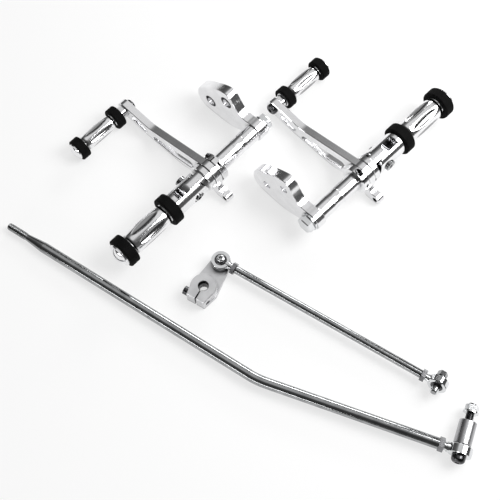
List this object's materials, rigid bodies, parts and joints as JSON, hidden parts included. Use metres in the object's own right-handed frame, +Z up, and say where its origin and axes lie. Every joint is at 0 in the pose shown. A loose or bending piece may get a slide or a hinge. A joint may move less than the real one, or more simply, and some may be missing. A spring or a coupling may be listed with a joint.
{
  "type": "motorcycle forward controls",
  "caption": "Set of forward controls: shift and brake controls with folding foot pegs and toe pegs, a bent brake rod and a shift rod with clamp lever.",
  "frame": {"origin": "on the table below the middle of the set's bounding box", "axes": "+Z up from the table, +X to the right and +Y away from the viewer of the laid-out set"},
  "size_m": [0.531, 0.505, 0.0633],
  "materials": {
    "polished_aluminium": "polished",
    "plated_steel": "polished",
    "dark_steel": "black oxide",
    "bronze": "satin",
    "black_rubber": "matte"
  },
  "bodies": {
    "set": {"left_mount_plate": "polished_aluminium", "left_hex_bolt": "plated_steel", "left_washer": "plated_steel", "left_shaft": "polished_aluminium", "left_clamp_collar": "polished_aluminium", "left_collar_screw": "dark_steel", "right_mount_plate": "polished_aluminium", "right_hex_bolt": "plated_steel", "right_washer": "plated_steel", "right_shaft": "polished_aluminium", "right_clamp_collar": "polished_aluminium", "right_collar_screw": "dark_steel", "brake_rod": "plated_steel", "brake_jam_nut": "plated_steel", "brake_rod_end": "plated_steel", "shift_rod": "plated_steel", "shift_jam_nut_rear": "plated_steel", "shift_jam_nut_front": "plated_steel", "shift_rod_end_rear": "plated_steel", "shift_rod_end_front": "plated_steel"},
    "left_pedal": {"left_pedal_arm": "polished_aluminium", "left_pedal_bushing": "bronze", "left_toe_peg": "polished_aluminium", "left_toe_peg_rings": "black_rubber", "left_toe_peg_cap": "polished_aluminium", "left_toe_peg_screw": "dark_steel"},
    "left_peg": {"left_foot_peg": "polished_aluminium", "left_foot_peg_rings": "black_rubber", "left_foot_peg_cap": "polished_aluminium", "left_fold_pin": "plated_steel"},
    "right_pedal": {"right_pedal_arm": "polished_aluminium", "right_pedal_bushing": "bronze", "right_toe_peg": "polished_aluminium", "right_toe_peg_rings": "black_rubber", "right_toe_peg_cap": "polished_aluminium", "right_toe_peg_screw": "dark_steel"},
    "right_peg": {"right_foot_peg": "polished_aluminium", "right_foot_peg_rings": "black_rubber", "right_foot_peg_cap": "polished_aluminium", "right_fold_pin": "plated_steel"},
    "brake_bolt_group": {"brake_ball": "dark_steel", "brake_bolt": "dark_steel", "brake_spacer": "polished_aluminium", "brake_flange_nut": "plated_steel"},
    "front_bolt_group": {"shift_ball_front": "dark_steel", "shift_bolt_front": "plated_steel", "shift_nut_front": "dark_steel"},
    "lever_group": {"shift_ball_rear": "dark_steel", "lever_stud": "dark_steel", "clamp_lever": "polished_aluminium", "lever_pinch_screw": "dark_steel"}
  },
  "joints": [
    {"name": "left_pedal_swing", "type": "hinge", "parent": "set", "child": "left_pedal", "pos_m": [-0.02879, 0.08434, 0.029], "axis": [0.6845, 0.729, 0], "range_deg": [-20, 20]},
    {"name": "left_peg_fold", "type": "hinge", "parent": "set", "child": "left_peg", "pos_m": [-0.05052, 0.0612, 0.029], "axis": [-0.729, 0.6845, 0], "range_deg": [0, 85]},
    {"name": "right_pedal_swing", "type": "hinge", "parent": "set", "child": "right_pedal", "pos_m": [0.15041, 0.08274, 0.029], "axis": [0.712, 0.7022, 0], "range_deg": [-20, 20]},
    {"name": "right_peg_fold", "type": "hinge", "parent": "set", "child": "right_peg", "pos_m": [0.17302, 0.10503, 0.029], "axis": [0.7022, -0.712, 0], "range_deg": [0, 85]},
    {"name": "brake_bolt_turn", "type": "hinge", "parent": "set", "child": "brake_bolt_group", "pos_m": [0.24031, -0.23865, 0.0127], "axis": [0.342, 0.9397, 0], "continuous": true},
    {"name": "front_bolt_turn", "type": "hinge", "parent": "set", "child": "front_bolt_group", "pos_m": [0.22286, -0.16546, 0.0119], "axis": [0.5004, 0.8262, -0.2588], "continuous": true},
    {"name": "lever_turn", "type": "hinge", "parent": "set", "child": "lever_group", "pos_m": [-0.01459, -0.02166, 0.0119], "axis": [0, 0, 1], "range_deg": [-60, 20]}
  ]
}
